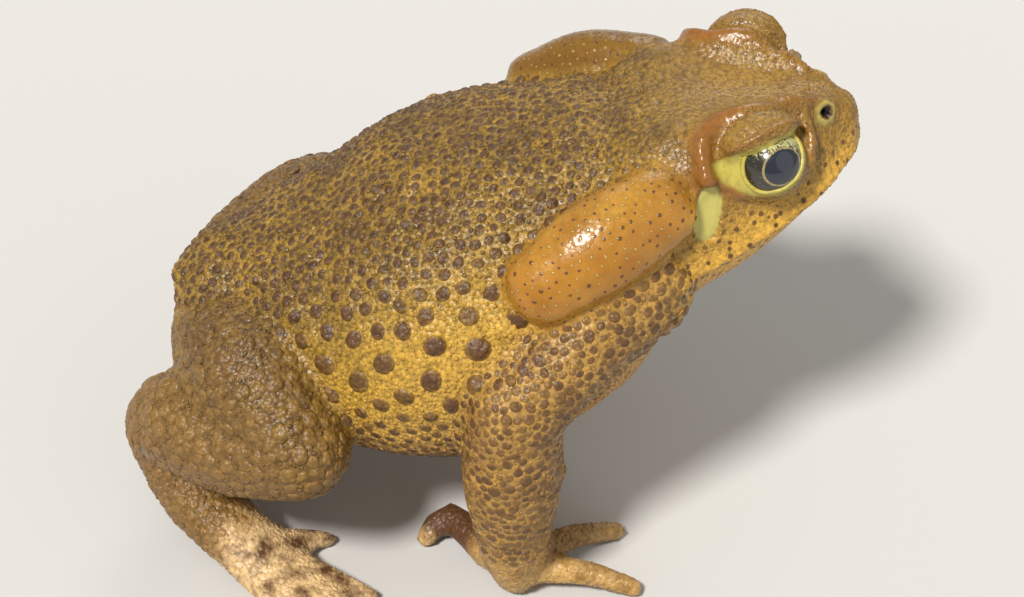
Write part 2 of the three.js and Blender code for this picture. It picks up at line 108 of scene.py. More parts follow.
def ramp(value, start, end):
    t = np.clip((value - start) / (end - start), 0, 1)
    return t * t * (3 - 2 * t)


def bell(value, width):
    return np.exp(-(value / width) ** 2)


def meshArray(mesh, what="vertices", name="co", size=3, kind=np.float64):
    data = np.zeros(len(getattr(mesh, what)) * size, kind)
    getattr(mesh, what).foreach_get(name, data)
    return data.reshape(-1, size) if size > 1 else data


def newPiece(name, mesh, material=None):
    piece = bpy.data.objects.new(name, mesh)
    bpy.context.scene.collection.objects.link(piece)
    if material:
        mesh.materials.append(material)
    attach(piece, "root")
    return piece


flesh = [name for name in nodes if not name.startswith("eye_")]   # the solids that the skin covers
skinPlan = {
    "grow": 0.3,              # mm, closes the gaps between the solids
    "voxel": 0.88,            # mm
    "rounds": 13,             # smoothing of the whole
    "shrink": (2, -0.2),      # rounds and swell of a last pass that takes the swollen look away
    "rear": (14, -0.4),       # rounds and swell over the rump
    "rearFrom": (-43, -49),   # x over which the rump's smoothing sets in
    "rearOver": 30,           # mm over the floor
    "fineFrom": 23.5,         # x beyond which the head is divided once more
    "fineOver": 48,
    "headRounds": 3,
    "headOver": 46,
}


def fleshTogether():
    bm = bmesh.new()
    for name in flesh:
        part = bmesh.new()
        part.from_mesh(nodes[name].data)
        bmesh.ops.remove_doubles(part, verts=part.verts, dist=1e-6)
        part.normal_update()
        for vert in part.verts:
            vert.co += vert.normal * skinPlan["grow"] * mm
        step = bpy.data.meshes.new("step")
        part.to_mesh(step)
        part.free()
        bm.from_mesh(step)
        bpy.data.meshes.remove(step)
    for side in (-1, 1):   # fills the sockets, so that lids can lie over the balls
        ball = Vector(toPacked(np.array(eyePlan["middle"]) * (1, side, 1)))
        bmesh.ops.create_icosphere(bm, subdivisions=4, radius=(eyePlan["radius"] + eyePlan["skin"]) * mm,
                                   matrix=Matrix.Translation(ball))
    mesh = bpy.data.meshes.new("flesh")
    bm.to_mesh(mesh)
    bm.free()
    return mesh


def remeshed(mesh, voxel):
    holder = bpy.data.objects.new("holder", mesh)
    bpy.context.scene.collection.objects.link(holder)
    change = holder.modifiers.new("voxels", "REMESH")
    change.mode = "VOXEL"
    change.voxel_size = voxel * mm
    made = bpy.data.meshes.new_from_object(holder.evaluated_get(bpy.context.evaluated_depsgraph_get()))
    bpy.data.objects.remove(holder)
    return made


def relax(points, edges, rounds, weight=None, swell=-0.62):
    # pairs of a shrinking and a swelling pass, so that facets go and size stays
    count = np.bincount(edges.ravel(), minlength=len(points)).astype(float)[:, None]
    count[count == 0] = 1
    for _ in range(rounds):
        for amount in (0.6, swell):
            total = np.zeros_like(points)
            for axis in range(3):
                total[:, axis] = (np.bincount(edges[:, 0], points[edges[:, 1], axis], len(points))
                                  + np.bincount(edges[:, 1], points[edges[:, 0], axis], len(points)))
            change = amount * (total / count - points)
            points = points + (change if weight is None else change * weight[:, None])
    return points


def largestIsland(bm):
    # keeps the one closed skin and drops anything left inside it
    seen, best = set(), []
    for start in bm.verts:
        if start in seen:
            continue
        seen.add(start)
        island, queue = [start], [start]
        while queue:
            for edge in queue.pop().link_edges:
                for vert in edge.verts:
                    if vert not in seen:
                        seen.add(vert)
                        island.append(vert)
                        queue.append(vert)
        if len(island) > len(best):
            best = island
    keep = set(best)
    bmesh.ops.delete(bm, geom=[v for v in bm.verts if v not in keep], context="VERTS")


def smoothSkin(mesh):
    points, edges = meshArray(mesh), meshArray(mesh, "edges", "vertices", 2, np.int32)
    points = relax(points, edges, skinPlan["rounds"])
    points = relax(points, edges, skinPlan["shrink"][0], swell=skinPlan["shrink"][1])
    rear = ramp(toToad(points)[:, 0], *skinPlan["rearFrom"]) * (points[:, 2] > skinPlan["rearOver"] * mm)
    points = relax(points, edges, skinPlan["rear"][0], rear, swell=skinPlan["rear"][1])
    mesh.vertices.foreach_set("co", points.ravel())


def divideHead(bm):
    # more points where the fine detail is
    head = [f for f in bm.faces if (f.calc_center_median().x - shift.x) / mm > skinPlan["fineFrom"]
            and f.calc_center_median().z / mm > skinPlan["fineOver"]]
    edgesIn = {e for f in head for e in f.edges}
    bmesh.ops.subdivide_edges(bm, edges=list(edgesIn), cuts=1, use_grid_fill=True)
    bmesh.ops.triangulate(bm, faces=[f for f in bm.faces if len(f.verts) > 4])


def makeSkinMesh():
    mesh = remeshed(fleshTogether(), skinPlan["voxel"])
    smoothSkin(mesh)
    bm = bmesh.new()
    bm.from_mesh(mesh)
    largestIsland(bm)
    bm.normal_update()
    for vert in bm.verts:
        vert.co -= vert.normal * skinPlan["grow"] * mm
    bm.normal_update()
    divideHead(bm)
    bm.to_mesh(mesh)
    bm.free()
    points, edges = meshArray(mesh), meshArray(mesh, "edges", "vertices", 2, np.int32)
    inHead = ramp(toToad(points)[:, 0], skinPlan["fineFrom"] - 1, skinPlan["fineFrom"] + 3)
    points = relax(points, edges, skinPlan["headRounds"], inHead * (points[:, 2] > skinPlan["headOver"] * mm))
    mesh.vertices.foreach_set("co", points.ravel())
    mesh.update()
    return mesh


skinMesh = makeSkinMesh()
print("skin", len(skinMesh.vertices), "points")

# detail worked into the head, both sides alike: a place is read with its y made positive
lipLine = smoothPath([(16, 21.4, 56.4), (22.5, 22.6, 57.6), (29, 22.1, 59.0), (34, 21, 61.6), (40, 18.9, 64.8),
                      (45, 16.2, 67.1), (50, 12, 69.2), (53.4, 7.5, 71), (56, 0, 72.4)])
ridges = [   # width and rise in mm, front the share of the rise left at the front end, ring a radius round the nostril
    {"name": "crest", "width": 1.25, "rise": 0.7, "front": 0.35, "path": [
        (52.6, 3.2, 81.6), (48.7, 4.8, 82.6), (44, 6.8, 83.8), (39, 9.3, 85.2), (35.6, 10.4, 85.1),
        (32.9, 11.2, 84.2), (30.5, 13.3, 83.3), (29.3, 15.4, 81.9), (29.9, 17.4, 79.6), (30, 18.6, 77.8)]},
    {"name": "underCrest", "width": 0.9, "rise": 0.35, "path": [
        (30.2, 18.8, 77.6), (31.6, 18.9, 77.2), (33.8, 18.2, 75.4), (36, 18.4, 74)]},
    {"name": "preorbital", "width": 0.75, "rise": 0.3, "path": [
        (41.6, 8.2, 84.3), (44, 7.9, 83.0), (45.8, 8.6, 81.9), (46.4, 9.6, 81.2)]},
    {"name": "frontFold", "width": 0.75, "rise": 0.7, "path": [
        (45.8, 9.6, 81.5), (47, 10.9, 80.6), (47.2, 12.2, 79.4), (46.8, 13.2, 78.2), (45.9, 13.2, 76.8)]},
    {"name": "lidMargin", "width": 0.5, "rise": 0.4, "path": [
        (33.3, 16.8, 81.8), (35.3, 17.5, 83.4), (37, 17.4, 84.5), (39, 16.8, 85.4), (41.3, 15.4, 85.6),
        (43.4, 13.6, 84.9), (45.2, 10.6, 82.4)]},
    {"name": "upperLip", "width": 0.95, "rise": 0.35, "path": [(x, y, z + 1.5) for x, y, z in lipLine[::6]]},
    {"name": "nostrilRim", "width": 0.6, "rise": 0.4, "ring": 1.5},
    {"name": "nostrilDip", "width": 4.0, "rise": -1.0, "ring": 0},
]
grooves = [
    {"name": "mouth", "width": 0.5, "sink": 0.75, "path": lipLine},
    {"name": "lidCrease", "width": 0.6, "sink": 0.75, "path": [
        (45.6, 9.2, 83.2), (42.6, 10.2, 84.9), (39, 11.4, 86), (35.6, 12.4, 85.6), (33.1, 13.4, 84.5),
        (31.8, 15.2, 82.8), (31.8, 16.6, 81)]},
    {"name": "foldBack", "width": 0.45, "sink": 0.35, "path": [
        (45, 9.8, 81.6), (46, 11.2, 80.6), (46.1, 12.4, 79.2), (45.5, 13.2, 78)]},
]
# the dark of the nostril is painted shade: the opening is coloured near black within the given distances
nostrilPit = {"at": (50.7, 5.7, 81.3), "facing": (0.5, 0.56, 0.66), "sink": 1.9,
              "sunk": (1.25, 0.5), "dark": (1.15, 0.8), "wall": (1.45, 0.6)}   # mm from the nostril's own line
drum = {"at": (30.7, 19.3, 71.5), "radii": (2.25, 4.1), "turn": (-16, 4),
        "rim": (0.3, 1.28, 0.18), "dish": (0.28, 1.02, 0.14)}   # mm, then place and width as shares of the radii
opening = {   # edge of the visible ball: degrees from the eye's axis, every so many degrees round it
    "axis": (0.286, 0.75, 0.595), "gaze": (0.29, 0.83, 0.46), "long": (0.799, -0.403, 0.447),
    "round": [-180, -153, -131, -99, -63, -36, -12, 8, 23, 45, 72, 108, 139, 165],
    "out": [73, 67, 52, 42, 39, 40, 46, 57, 60, 54, 48, 54, 67, 72],
}
lidPlan = {
    "within": (9, 110),    # mm and degrees from the ball's middle and axis that the fitting looks at
    "behind": (0.8, 6.9),  # mm that the skin stays behind the ball, where it was nearer than this to its middle
    "outwards": 5,         # mm past the lids' edge that the skin is laid on the ball
    "soft": 0.6,
    "thins": 0.02,         # of a mm for each mm outwards
}
lidReach = {"round": [-180, -160, -140, -120, -60, 0, 45, 90, 120, 145, 165, 180],   # how far out the lid's yellow goes
            "mm": [2.0, 1.5, 1.1, 1.0, 0.8, 0.8, 1.8, 2.6, 4.0, 4.7, 3.5, 2.0]}
lidEdge = {"point": (40, 17.2, 84), "normal": (0.4, 0.5, -0.77)}   # below this plane the lid turns in to the ball


headFrom = 14   # x beyond which the head's detail is worked


def onSkin(tree, path):
    return np.array([toToad(tree.find_nearest(Vector(p))[0]) for p in toPacked(path)])


def eyeAxes(side, aim="axis"):
    # the ball's middle, the way it faces, the long way of the opening and the way up
    middle = np.array(eyePlan["middle"]) * (1, side, 1)
    axis = np.array(opening[aim]) * (1, side, 1)
    axis = axis / np.linalg.norm(axis)
    across = np.array(opening["long"]) * (1, side, 1)
    across = across - (across @ axis) * axis
    across = across / np.linalg.norm(across)
    return middle, axis, across, np.cross(axis, across) * -side


def openingAt(angle):
    # how far out the lids' edge is at this angle round the axis
    return np.interp(angle, opening["round"] + [180], opening["out"] + [opening["out"][0]])


def edgeFacing(angle, out, side):
    # the way from the ball's middle to the lids' edge
    _, axis, across, up = eyeAxes(side)
    a, t = np.radians(angle)[:, None], np.radians(out)[:, None]
    return np.cos(t) * axis + np.sin(t) * (np.cos(a) * across + np.sin(a) * up)


def lidPast(local, out, angle, side):
    # distance outwards from the lids' edge, in mm
    edge = edgeFacing(angle, openingAt(angle), side) * eyePlan["radius"]
    return np.linalg.norm(local - edge, axis=1) * np.sign(out - openingAt(angle))


def roundEye(points, side):
    middle, axis, across, up = eyeAxes(side)
    local = points - middle
    far = np.linalg.norm(local, axis=1)
    out = np.degrees(np.arccos(np.clip((local @ axis) / np.maximum(far, 1e-6), -1, 1)))
    angle = np.degrees(np.arctan2(local @ up, local @ across))
    return local, far, out, angle


def foldedOver(points):
    # the same places with both sides laid on the left one
    folded = points.copy()
    folded[:, 1] = np.abs(folded[:, 1])
    return folded


def sculptHead(points, normals, tree):
    forward = points[:, 0] > headFrom
    head = foldedOver(points)[forward]
    lift = np.zeros(len(head))
    for ridge in ridges:
        if "path" in ridge:
            away, along = nearPath(head, onSkin(tree, smoothPath(ridge["path"], 4)))
            front = ridge.get("front", 1)
            share = front + (1 - front) * ramp(along, 0, 0.5)
        else:
            away, share = np.abs(noseAway(head) - ridge["ring"]), 1
        lift += ridge["rise"] * share * bell(away, ridge["width"])
    for groove in grooves:
        away, _ = nearPath(head, onSkin(tree, smoothPath(groove["path"], 4)))
        lift -= groove["sink"] * bell(away, groove["width"])
    lift -= nostrilPit["sink"] * ramp(noseAway(head), *nostrilPit["sunk"])
    edge = drumShare(head)
    (rise, rimAt, rimWide), (sink, dishAt, dishWide) = drum["rim"], drum["dish"]
    lift += rise * bell(edge - rimAt, rimWide) - sink * bell(edge - dishAt, dishWide)
    points[forward] += normals[forward] * lift[:, None]
    return points


def noseAway(folded):
    # distance from the nostril's own line, however deep the pit is
    local = folded - np.array(nostrilPit["at"])
    facing = np.array(nostrilPit["facing"]) / np.linalg.norm(nostrilPit["facing"])
    deep = local @ facing
    away = np.linalg.norm(local - deep[:, None] * facing, axis=1)
    return np.where(np.abs(deep) < 4, away, 30)   # 30 mm is as good as never


def drumShare(folded):
    # 1 on the rim of the eardrum, less inside it
    a, b = [math.radians(v) for v in drum["turn"]]
    turn = np.array(Matrix.Rotation(a, 3, "X") @ Matrix.Rotation(b, 3, "Y"))
    local = (folded - np.array(drum["at"])) @ turn
    share = np.hypot(local[:, 0] / drum["radii"][0], local[:, 2] / drum["radii"][1])
    return np.where(np.abs(local[:, 1]) < 5, share, 9)   # far off where the skin isn't the side of the head


def fitLids(points):
    # the skin stays behind the ball inside the opening, and lies on it outside
    for side in (-1, 1):
        local, far, out, angle = roundEye(points, side)
        past = np.radians(out - openingAt(angle)) * eyePlan["radius"]
        near = (far < lidPlan["within"][0]) & (out < lidPlan["within"][1])
        inside = near & (past < 0) & (far < lidPlan["behind"][1])
        want = far.copy()
        want[inside] = eyePlan["radius"] - lidPlan["behind"][0]
        lying = near & (past >= 0) & (past < lidPlan["outwards"])
        least = eyePlan["radius"] + eyePlan["skin"] * ramp(past, 0, lidPlan["soft"]) - lidPlan["thins"] * past
        want[lying] = np.maximum(want[lying], least[lying])
        fitted = eyeAxes(side)[0] + local * (want / np.maximum(far, 1e-6))[:, None]
        points = np.where((inside | lying)[:, None], fitted, points)
    return points


def meshNormals(mesh):
    mesh.update()
    return meshArray(mesh, "vertex_normals", "vector")


padHeight = 0.25   # mm; what is lower is laid level on the floor
skinTree = BVHTree.FromPolygons([v.co for v in skinMesh.vertices], [p.vertices for p in skinMesh.polygons])
skinPoints = toToad(meshArray(skinMesh))
skinPoints = sculptHead(skinPoints, meshNormals(skinMesh), skinTree)
skinPoints = fitLids(skinPoints)
packed = toPacked(skinPoints)
packed[packed[:, 2] < padHeight * mm, 2] = 0
packed[:, 2] = np.minimum(packed[:, 2], cadHigh.z)
skinMesh.vertices.foreach_set("co", packed.ravel())
for poly in skinMesh.polygons:
    poly.use_smooth = True
skinMesh.update()
skinPoints = toToad(packed)
skinNormals = meshNormals(skinMesh)
print("head worked")

# nine values at each point say which colours belong there
zoneNames = ["belly", "limb", "digit", "gland", "brow", "lip", "drum", "wart", "lid"]
trunkLine = {"x": [-47.5, -39, -25, -9, 7, 19, 28], "z": [38, 38, 38.5, 42.5, 49, 56.5, 60.5],
             "over": [12.5, 17.5, 23.5, 27, 26.5, 22.6, 19], "under": [14, 19, 25, 27.5, 24.4, 17.4, 13]}
thumbs = [[(-4, -31, 4), (-9, -24.4, 3.6), (-12, -22, 3.4), (-15.2, -25.4, 1.6)],   # the dark pads' lines
          [(-7.4, 31, 4), (-12.6, 24.5, 3.4), (-16, 19.5, 1.6)]]
zonePlan = {   # pairs are where a zone starts and ends; lengths in mm
    "blend": 1.5,                # softness of the border between two solids' colours
    "head": (20, 30),
    "belly": (0.95, -0.95),      # height shares
    "raised": {"share": 0.34, "along": (-36, -10), "height": 0.45, "width": 0.38},   # yellow behind the gland
    "jaw": (0.5, -3),            # over and under the lip line
    "glandTop": (0.6, 0.97),     # how far up the skin faces
    "browAhead": (33, 41),       # the crest's red brown is weaker ahead of this
    "browPatch": {"share": 0.4, "width": 4.0, "along": (36, 30)},
    "brow": {"crest": (1.1, 1.7), "underCrest": (0.9, 1.5), "frontFold": (0.7, 1.0), "lidMargin": (0.7, 0.6)},
    "lip": {"under": 2.2, "width": 5.2, "less": 2.4, "along": (40, 50)},
    "thumb": (4.4, 3.2),
    "lidSoft": (0.6, -0.3), "lidNear": (11.5, 9.5), "lidBelow": (-0.45, 0.1),
}


def nodeDistances(points, reach=7):
    # how far each point is from every solid's surface, in mm, or farOff where nothing is near
    away, farOff = {}, 60.0
    for name in flesh:
        bm = bmesh.new()
        bm.from_mesh(nodes[name].data)
        tree = BVHTree.FromBMesh(bm)
        bm.free()
        low, high = [toToad(corner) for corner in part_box(name)]
        close = np.all((points > low - reach) & (points < high + reach), axis=1)
        found = np.full(len(points), farOff)
        where = np.nonzero(close)[0]
        at = toPacked(points[where])
        for i, place in zip(where, at):
            hit = tree.find_nearest(place, reach * mm)
            if hit[0] is not None:
                found[i] = hit[3] / mm
        away[name] = found
    return away


def heightShare(points):
    # 1 along the back, 0 at mid height and -1 along the belly
    middle = np.interp(points[:, 0], trunkLine["x"], trunkLine["z"])
    over = np.interp(points[:, 0], trunkLine["x"], trunkLine["over"])
    under = np.interp(points[:, 0], trunkLine["x"], trunkLine["under"])
    rise = points[:, 2] - middle
    return np.where(rise > 0, rise / over, rise / under)


def ridgeAway(folded, name):
    path = next(ridge["path"] for ridge in ridges if ridge["name"] == name)
    return nearPath(folded, smoothPath(path, 3))[0]


def browZone(folded):
    # the crest's red brown, with a patch behind the eye, the folds and the lid's margin
    along, patch = folded[:, 0], zonePlan["browPatch"]
    zone = patch["share"] * bell(ridgeAway(folded, "crest"), patch["width"]) * ramp(along, *patch["along"])
    for name, (share, width) in zonePlan["brow"].items():
        if name == "crest":
            share = share * (1 - 0.55 * ramp(along, *zonePlan["browAhead"]))
        zone = zone + share * bell(ridgeAway(folded, name), width)
    return np.clip(zone, 0, 1)


def lidZone(points):
    zone = np.zeros(len(points))
    for side in (-1, 1):
        local, far, out, angle = roundEye(points, side)
        below = (points - np.array(lidEdge["point"]) * (1, side, 1)) @ (np.array(lidEdge["normal"]) * (1, side, 1))
        past = lidPast(local, out, angle, side) - np.interp(angle, lidReach["round"], lidReach["mm"])
        near = ramp(far, *zonePlan["lidNear"]) * ramp(below, *zonePlan["lidBelow"]) * (points[:, 1] * side > 8)
        zone = np.maximum(zone, ramp(past, *zonePlan["lidSoft"]) * near)
    return zone


def readZones(points, normals):
    away = nodeDistances(points)
    soft = {name: np.exp(-(away[name] / zonePlan["blend"]) ** 2) + 1e-9 for name in flesh}
    total = sum(soft.values())

    def share(*words):
        return sum(soft[n] for n in flesh if n.startswith(words)) / total

    folded, along, height = foldedOver(points), points[:, 0], heightShare(points)
    zones = {name: np.zeros(len(points)) for name in zoneNames}
    inHead = ramp(along, *zonePlan["head"])
    plan = zonePlan["raised"]
    raised = plan["share"] * ramp(along, *plan["along"]) * bell(height - plan["height"], plan["width"])
    trunkBelly = np.clip(ramp(height, *zonePlan["belly"]) + raised, 0, 1) * (1 - inHead)
    overLip = points[:, 2] - np.interp(along, lipLine[:, 0], lipLine[:, 2])
    zones["belly"] = np.maximum(trunkBelly, ramp(overLip, *zonePlan["jaw"]) * inHead)
    zones["limb"] = share("upper_arm", "forearm", "thigh", "shank", "tarsus")
    zones["digit"] = share("hand", "foot")
    zones["gland"] = share("parotoid") * (1 - 0.25 * ramp(normals[:, 2], *zonePlan["glandTop"]))
    zones["brow"] = browZone(folded)
    lipAway, plan = nearPath(folded, lipLine)[0], zonePlan["lip"]
    lipWidth = plan["width"] - plan["less"] * ramp(along, *plan["along"])
    zones["lip"] = bell(np.maximum(lipAway - plan["under"], 0), lipWidth) * inHead
    nose, (wallAt, wallWidth) = noseAway(folded), nostrilPit["wall"]
    zones["drum"] = np.maximum(ramp(drumShare(folded), 1.06, 0.94), 0.65 * bell(nose - wallAt, wallWidth))
    zones["wart"] = 2.0 * ramp(nose, *nostrilPit["dark"])   # painted shade of the nostril's opening: dark brown, and over 1 near black
    for path in thumbs:
        thumbAway, onward = nearPath(points, smoothPath(path, 3))
        pad = ramp(thumbAway, *zonePlan["thumb"]) * ramp(onward, 0.02, 0.16) * ramp(onward, 1.0, 0.9)
        zones["wart"] = np.maximum(zones["wart"], pad)
    zones["lid"] = lidZone(points)
    names = np.array(flesh)[np.argmin([away[n] for n in flesh], axis=0)]
    return zones, names, height


skinZones, skinNode, skinHeight = readZones(skinPoints, skinNormals)
print("zones read")


def writeZones(mesh, zones):
    for i in range(3):
        layer = mesh.color_attributes.new("zones" + "ABC"[i], "FLOAT_COLOR", "POINT")
        data = np.ones((len(mesh.vertices), 4), np.float32)
        for k in range(3):
            data[:, k] = zones[zoneNames[3 * i + k]]
        layer.data.foreach_set("color", data.ravel())


writeZones(skinMesh, skinZones)


def addNode(tree, kind, inputs=None, **settings):
    node = tree.nodes.new(kind)
    for key, value in settings.items():
        setattr(node, key, value)
    for key, value in (inputs or {}).items():
        setInput(tree, node.inputs[key], value)
    return node


def setInput(tree, socket, value):
    if isinstance(value, bpy.types.NodeSocket):
        tree.links.new(value, socket)
    elif isinstance(value, tuple) and len(value) == 3 and socket.type == "RGBA":
        socket.default_value = (*value, 1)
    else:
        socket.default_value = value


def mixColor(tree, share, first, second):
    node = tree.nodes.new("ShaderNodeMix")
    node.data_type = "RGBA"
    for index, value in ((0, share), (6, first), (7, second)):   # the color sockets of a node with many kinds
        setInput(tree, node.inputs[index], value)
    return node.outputs[2]


def noise(tree, place, scale, detail, **more):
    settings = {"Vector": place, "Scale": scale, "Detail": detail, **more}
    return addNode(tree, "ShaderNodeTexNoise", settings).outputs["Fac"]


def cells(tree, place, scale):
    return addNode(tree, "ShaderNodeTexVoronoi", {"Vector": place, "Scale": scale}, feature="F1").outputs["Distance"]


def maths(tree, way, first, second=0.5, third=None):
    node = tree.nodes.new("ShaderNodeMath")
    node.operation = way
    setInput(tree, node.inputs[0], first)
    setInput(tree, node.inputs[1], second)
    if third is not None:
        setInput(tree, node.inputs[2], third)
    return node.outputs[0]


def between(tree, value, start, end, low=0.0, high=1.0):
    return addNode(tree, "ShaderNodeMapRange", {"Value": value, "From Min": start, "From Max": end,
                                                "To Min": low, "To Max": high}).outputs[0]


def newMaterial(name):
    material = bpy.data.materials.new(name)
    material.use_nodes = True
    return material, material.node_tree, material.node_tree.nodes["Principled BSDF"]


skinColors = {
    "backDark": (0.120, 0.067, 0.011), "backLight": (0.41, 0.240, 0.030),
    "head": (0.29, 0.158, 0.026), "flank": (0.60, 0.355, 0.045), "belly": (0.56, 0.31, 0.075),
    "limb": (0.24, 0.120, 0.026), "limbLight": (0.52, 0.295, 0.062), "hindLimbToneAndShade": (0.135, 0.070, 0.014),
    "digit": (0.72, 0.49, 0.235), "digitDark": (0.12, 0.052, 0.020),
    "gland": (0.27, 0.102, 0.010), "glandLight": (0.46, 0.222, 0.028), "glandShadeLeft": (0.17, 0.078, 0.009),
    "brow": (0.25, 0.100, 0.017), "lip": (0.68, 0.385, 0.052), "speck": (0.12, 0.050, 0.012),
    "drum": (0.47, 0.42, 0.11), "wart": (0.100, 0.040, 0.013), "lid": (0.46, 0.39, 0.075),
    # the creases' and the nostril pit's colours on the next line are painted shade
    "lidShade": (0.24, 0.185, 0.025), "creaseShade": (0.020, 0.010, 0.004), "pit": (0.004, 0.003, 0.003),
}
skinScales = {"broad": 140, "mottle": 330, "specks": 620, "fine": 900, "grain": 1150}


def readZoneNodes(tree):
    zone = {}
    for i in range(3):
        layer = addNode(tree, "ShaderNodeAttribute", attribute_name="zones" + "ABC"[i])
        split = addNode(tree, "ShaderNodeSeparateColor", {"Color": layer.outputs["Color"]})
        for k in range(3):
            zone[zoneNames[3 * i + k]] = split.outputs[k]
    return zone


def makeSkinMaterial():
    material, tree, shader = newMaterial("toadSkin")
    place = addNode(tree, "ShaderNodeTexCoord").outputs["Object"]
    color, zone = skinColors, readZoneNodes(tree)
    broad = noise(tree, place, skinScales["broad"], 3)
    fine = noise(tree, place, skinScales["fine"], 4, Roughness=0.6)
    grain, specks = cells(tree, place, skinScales["grain"]), cells(tree, place, skinScales["specks"])
    patches = between(tree, broad, 0.25, 0.72)
    smooth = maths(tree, "MAXIMUM", maths(tree, "MAXIMUM", zone["gland"], zone["lid"]), zone["drum"])
    smooth = maths(tree, "MAXIMUM", smooth, maths(tree, "MULTIPLY", zone["brow"], 0.6))
    spot = addNode(tree, "ShaderNodeSeparateXYZ", {"Vector": place})
    east = spot.outputs["X"]
    head = between(tree, east, 0.024, 0.040)
    depth = maths(tree, "SUBTRACT", 1.0, maths(tree, "MULTIPLY", smooth, 0.9))   # how rough the skin is
    depth = maths(tree, "MULTIPLY", depth, maths(tree, "SUBTRACT", 1.0, maths(tree, "MULTIPLY", head, 0.4)))
    base = mixColor(tree, patches, color["backDark"], color["backLight"])
    base = mixColor(tree, maths(tree, "MULTIPLY", head, 0.75), base, color["head"])
    # the belly colour is partly the underside's own ochre, partly painted shade: it is kept darker than the lit belly
    # would be
    lower = mixColor(tree, between(tree, zone["belly"], 0.45, 1.0), color["flank"], color["belly"])
    base = mixColor(tree, between(tree, zone["belly"], 0.06, 0.5), base, lower)
    limb = mixColor(tree, patches, color["limb"], color["limbLight"])
    # partly the hind legs' own darker brown, partly painted shade: the limbs are coloured darker towards the rear
    limb = mixColor(tree, between(tree, east, -0.008, -0.026, 0.0, 0.8), limb, color["hindLimbToneAndShade"])
    base = mixColor(tree, zone["limb"], base, limb)
    mottle = noise(tree, place, skinScales["mottle"], 3)
    digit = mixColor(tree, between(tree, mottle, 0.32, 0.60), color["digitDark"], color["digit"])
    # painted shade: the hands' digits are mixed towards the darker limb colour, so they are darker than the feet
    digit = mixColor(tree, between(tree, east, -0.020, -0.004, 0.0, 0.72), digit, limb)
    base = mixColor(tree, zone["digit"], base, digit)
    lip = mixColor(tree, between(tree, specks, 0.34, 0.24), color["lip"], color["speck"])
    base = mixColor(tree, maths(tree, "MULTIPLY", zone["lip"], 0.9), base, lip)
    gland = mixColor(tree, patches, color["gland"], color["glandLight"])
    # painted shade: the left parotoid is coloured darker than the right one
    gland = mixColor(tree, between(tree, spot.outputs["Y"], 0.0, 0.012), gland, color["glandShadeLeft"])
    base = mixColor(tree, zone["gland"], base, gland)
    base = mixColor(tree, zone["brow"], base, color["brow"])
    lid = mixColor(tree, between(tree, fine, 0.45, 0.8), color["lid"], color["lidShade"])
    base = mixColor(tree, zone["lid"], base, lid)
    base = mixColor(tree, zone["drum"], base, color["drum"])
    base = mixColor(tree, zone["wart"], base, color["wart"])
    # painted shade: the nostril's opening is coloured near black
    base = mixColor(tree, between(tree, zone["wart"], 1.1, 1.8), base, color["pit"])
    shaded = maths(tree, "MULTIPLY", depth, maths(tree, "SUBTRACT", 1.0, maths(tree, "MULTIPLY", zone["belly"], 0.6)))
    # painted shade: where the bump is low, between the grains and in the fine folds, the colour is darkened towards
    # near black, less on the belly
    for creaseShade in (between(tree, fine, 0.32, 0.60, 0.42, 0.0), between(tree, grain, 0.42, 0.75, 0.0, 0.5)):
        base = mixColor(tree, maths(tree, "MULTIPLY", creaseShade, shaded), base, color["creaseShade"])
    setInput(tree, shader.inputs["Base Color"], base)
    rough = between(tree, fine, 0.3, 0.7, 0.27, 0.46)
    glossy = maths(tree, "MAXIMUM", zone["gland"], zone["brow"])
    rough = maths(tree, "SUBTRACT", rough, maths(tree, "MULTIPLY", glossy, 0.15))
    rough = maths(tree, "ADD", rough, maths(tree, "MULTIPLY", zone["wart"], 0.08))
    setInput(tree, shader.inputs["Roughness"], rough)
    height = maths(tree, "ADD", maths(tree, "MULTIPLY", grain, -0.5), maths(tree, "MULTIPLY", fine, 0.5))
    height = maths(tree, "MULTIPLY", height, depth)
    bump = addNode(tree, "ShaderNodeBump", {"Height": height, "Distance": 0.0006, "Strength": 0.85})
    shader.inputs["Specular IOR Level"].default_value = 0.45
    setInput(tree, shader.inputs["Normal"], bump.outputs["Normal"])
    return material


toadSkin = makeSkinMaterial()
skinPiece = newPiece("skin", skinMesh, toadSkin)
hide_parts(*flesh)

eyeLook = {
    "pupil": (0.53, 0.46),    # its long and short way, as shares of the ball's radius
    "parts": (64, 40),
    "bulge": 0.03,            # how far the clear front stands out, as a share of the radius
}
eyeColors = {"pupil": (0.006, 0.010, 0.022), "iris": (0.018, 0.014, 0.008), "gold": (0.52, 0.50, 0.22),
             "rim": (0.36, 0.29, 0.11), "white": (0.10, 0.085, 0.05)}


